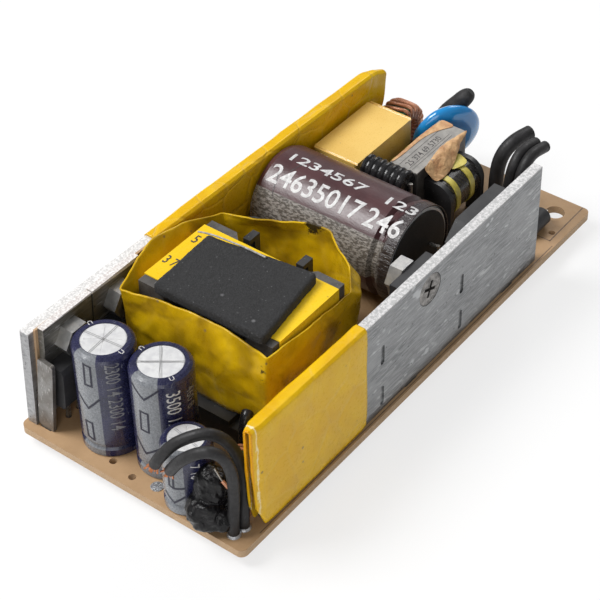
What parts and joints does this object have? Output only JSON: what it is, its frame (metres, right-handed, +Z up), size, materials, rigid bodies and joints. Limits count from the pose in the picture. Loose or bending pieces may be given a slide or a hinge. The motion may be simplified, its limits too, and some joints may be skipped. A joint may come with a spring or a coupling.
{
  "type": "open frame power supply",
  "caption": "Open frame switching power supply: one board with two plate heatsinks, a taped transformer, a reservoir capacitor laid across it, and filters at both ends.",
  "frame": {"origin": "middle of the board in plan, on the plane that the clipped leads under the board rest on", "axes": "+X along the board from the output end to the mains end, +Y from the primary heatsink to the secondary heatsink, +Z up"},
  "size_m": [0.1042, 0.046, 0.0265],
  "materials": {
    "laminate": "tan paper laminate with a satin surface and fibrous cut edges",
    "solder": "wave soldered tin, bright and slightly dimpled",
    "mould": "black moulded epoxy, fine grained",
    "chip": "small glazed chip parts",
    "opto": "white moulded epoxy",
    "blue_coat": "glossy dipped epoxy coat",
    "plate": "rolled and sheared sheet with scratches and stains",
    "yellow_tape": "polyester tape with creases",
    "dark_steel": "dark cross head screw with worn edges",
    "zinc": "zinc plated nut",
    "insulator": "tan filled silicone strip",
    "tinned_copper": "tinned copper with coppery sheared edges",
    "tin": "tinned wire",
    "can": "drawn aluminium can",
    "navy_sleeve": "shrunk navy sleeve with a pale stripe",
    "bung": "black rubber bung",
    "brown_sleeve": "shrunk dark brown sleeve with a grey stripe",
    "ferrite": "ground dark ferrite",
    "bobbin": "black phenolic bobbin",
    "foam": "black conductive foam with bright specks",
    "film_case": "pale yellow moulded box",
    "green_core": "green coated ring core",
    "enamelled_copper": "enamelled copper wire",
    "sleeving": "black shrunk sleeving",
    "black_winding": "black taped winding",
    "pale_tape": "pale yellow margin tape",
    "label_film": "grey printed label",
    "masking_tape": "tan crepe tape",
    "lead_pvc": "black PVC insulation"
  },
  "bodies": {
    "root": {"board": "laminate", "solder_lands": "solder", "solder_joints": "solder", "controller_ic": "mould", "chip_parts": "chip", "optocoupler": "opto", "safety_capacitor": "blue_coat", "primary_heatsink": "plate", "primary_tape": "yellow_tape", "heatsink_screws": "dark_steel", "heatsink_nuts": "zinc", "mosfet_body": "mould", "bridge_body": "mould", "secondary_heatsink": "plate", "secondary_insulator": "insulator", "secondary_tape": "yellow_tape", "rectifier_tabs": "tinned_copper", "rectifier_bodies": "mould", "package_leads": "tin", "tinned_strip": "tinned_copper", "capacitor_cans": "can", "capacitor_sleeves": "navy_sleeve", "capacitor_bungs": "bung", "capacitor_leads": "tin", "main_cap_can": "can", "main_cap_sleeve": "brown_sleeve", "main_cap_bung": "bung", "transformer_core_top": "ferrite", "transformer_core_bottom": "ferrite", "transformer_bobbin": "bobbin", "transformer_winding": "yellow_tape", "core_tape": "yellow_tape", "core_pad": "foam", "transformer_wrap": "yellow_tape", "winding_pins": "tin", "film_capacitor": "film_case", "line_choke_core": "green_core", "line_choke_winding": "enamelled_copper", "varistor": "blue_coat", "sleeved_fuse": "sleeving", "cm_choke_core": "ferrite", "cm_choke_bobbin": "bobbin", "cm_choke_winding": "black_winding", "cm_choke_bands": "pale_tape", "cm_choke_label": "label_film", "cm_choke_tape": "masking_tape", "sleeved_inductor": "sleeving", "output_choke_core": "green_core", "output_choke_winding": "enamelled_copper", "output_choke_lead": "enamelled_copper", "taped_inductor": "sleeving", "end_diode": "mould", "flying_lead": "sleeving", "secondary_lead": "sleeving", "output_lead_a": "lead_pvc", "output_lead_b": "lead_pvc", "input_lead_a": "lead_pvc", "input_lead_b": "lead_pvc", "input_lead_c": "lead_pvc"}
  },
  "joints": []
}
